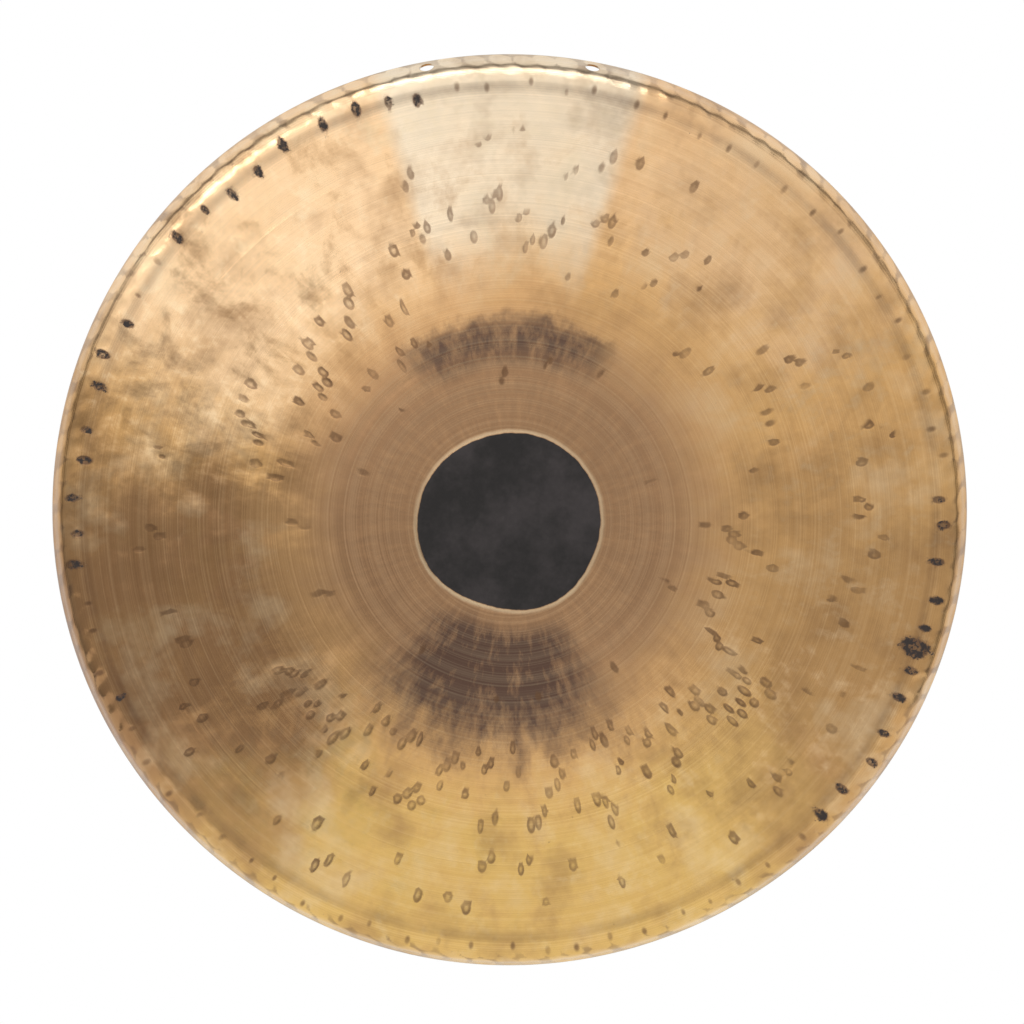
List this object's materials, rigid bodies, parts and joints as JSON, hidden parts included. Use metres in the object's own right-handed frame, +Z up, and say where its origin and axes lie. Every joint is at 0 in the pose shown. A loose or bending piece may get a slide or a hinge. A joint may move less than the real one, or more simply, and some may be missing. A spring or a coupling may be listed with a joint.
{
  "type": "gong",
  "caption": "Round hammered bronze gong with a lathed, slightly crowned face, a rim turned back all round, a raw dark centre and two cord holes at the top.",
  "frame": {"origin": "middle of the gong's outline and of its depth", "axes": "+Z up as the gong hangs, +Y out of its open back, so the face that is struck looks along -Y; +X to the right as the face is seen"},
  "size_m": [0.5588, 0.0232, 0.5586],
  "materials": {
    "hammered_bronze": "lathe-turned satin bronze, left black and raw at the centre"
  },
  "bodies": {
    "root": {"gong_plate": "hammered_bronze"}
  },
  "joints": []
}
